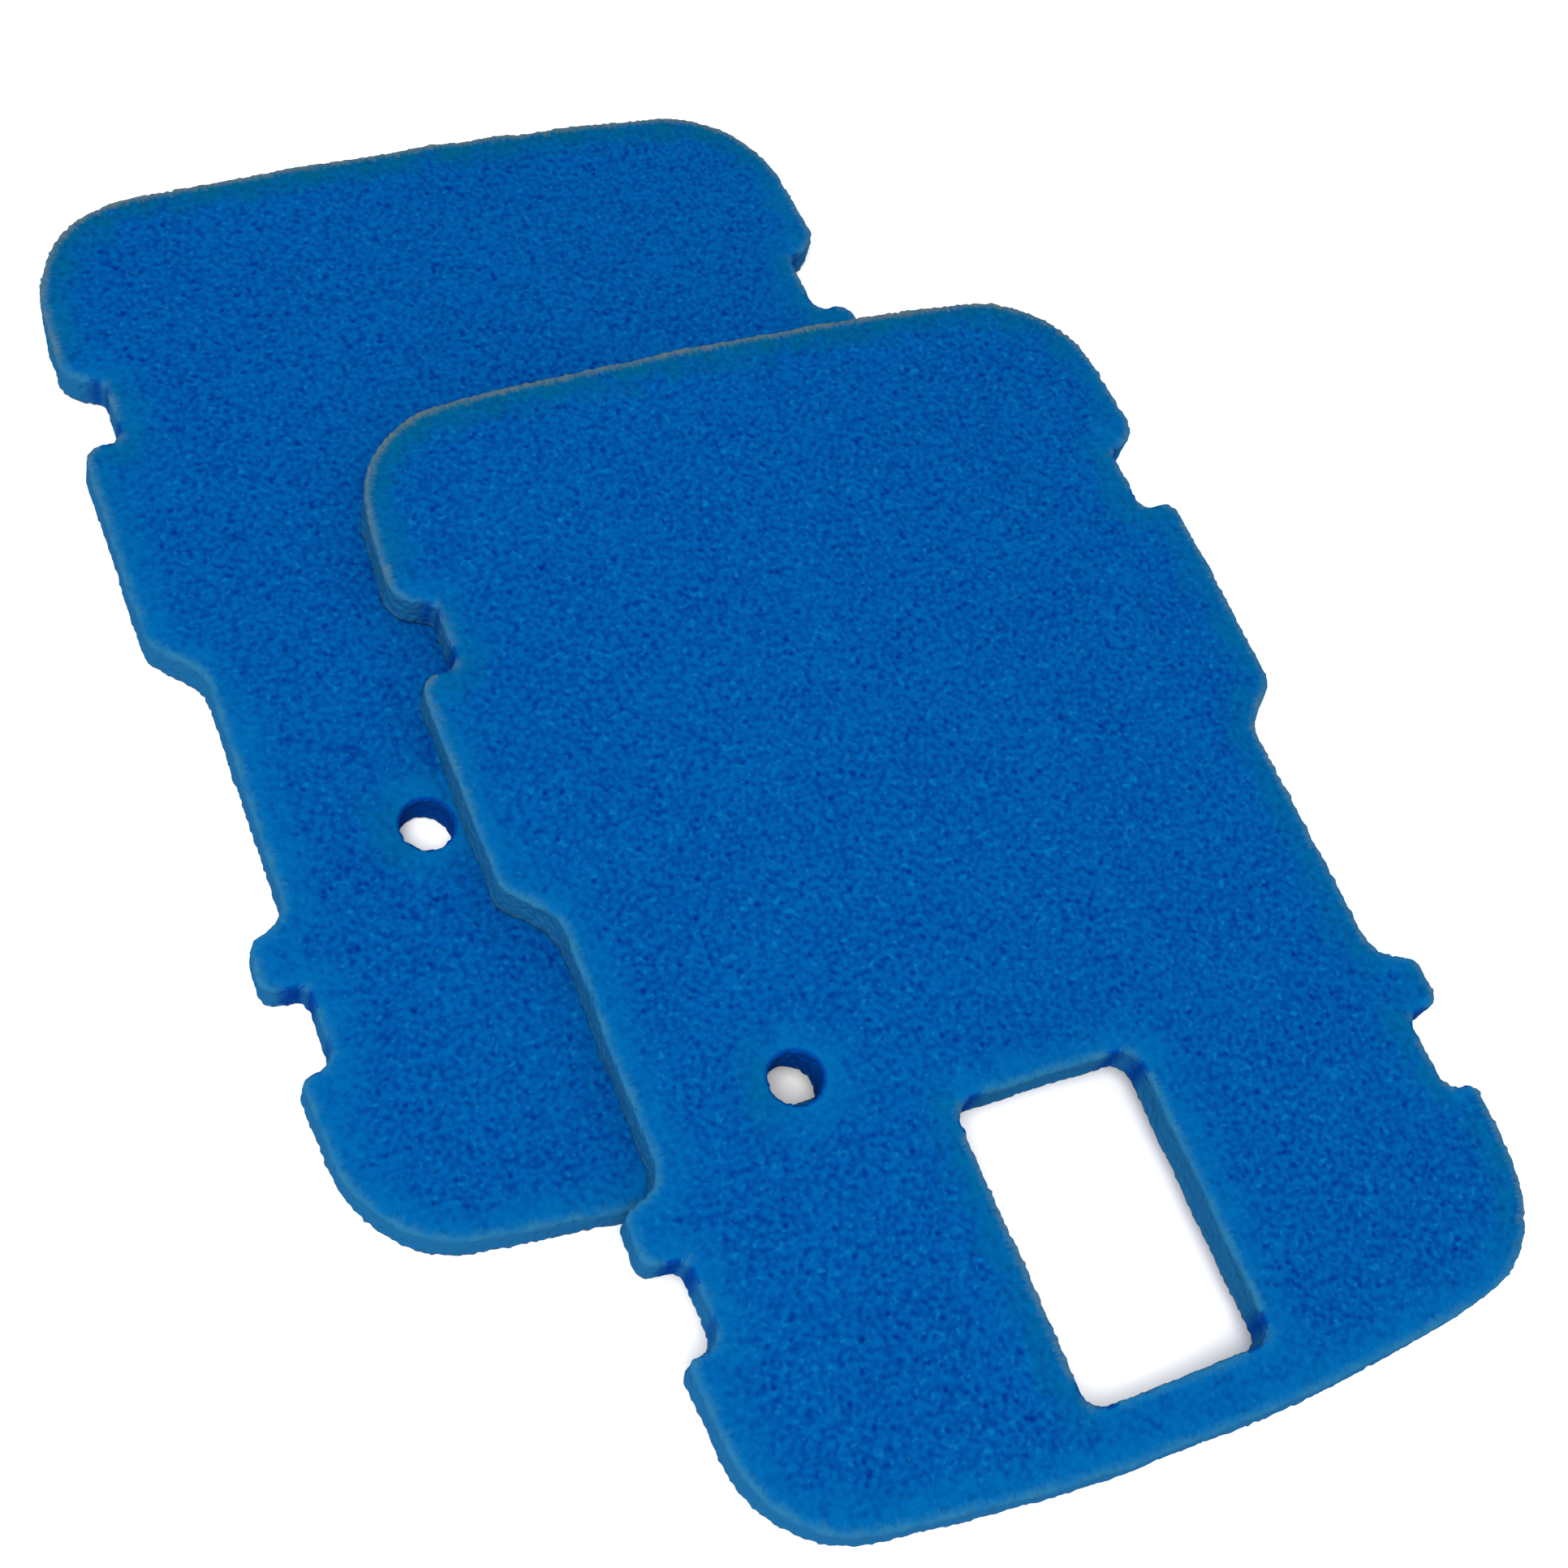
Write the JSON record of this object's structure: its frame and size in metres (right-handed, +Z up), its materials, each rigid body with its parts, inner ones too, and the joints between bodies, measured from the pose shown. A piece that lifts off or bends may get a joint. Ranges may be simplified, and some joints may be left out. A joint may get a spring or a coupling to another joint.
{
  "type": "sponge filter",
  "caption": "Pair of flat blue filter foam pads with notched sides, a rectangular window and a round pipe hole, stacked and shifted.",
  "frame": {"origin": "middle of the pair, on the surface that the lower pad lies on", "axes": "+Z up through the pads, +Y towards their far ends, +X across them"},
  "size_m": [0.247, 0.362, 0.0203],
  "materials": {
    "foam": "matte open-pore foam"
  },
  "bodies": {
    "lower_pad_body": {"lower_pad": "foam"},
    "upper_pad_body": {"upper_pad": "foam"}
  },
  "joints": [
    {"name": "upper_pad_lift", "type": "slide", "parent": "lower_pad_body", "child": "upper_pad_body", "axis": [0, 0, 1], "range_m": [0, 0.06]}
  ]
}
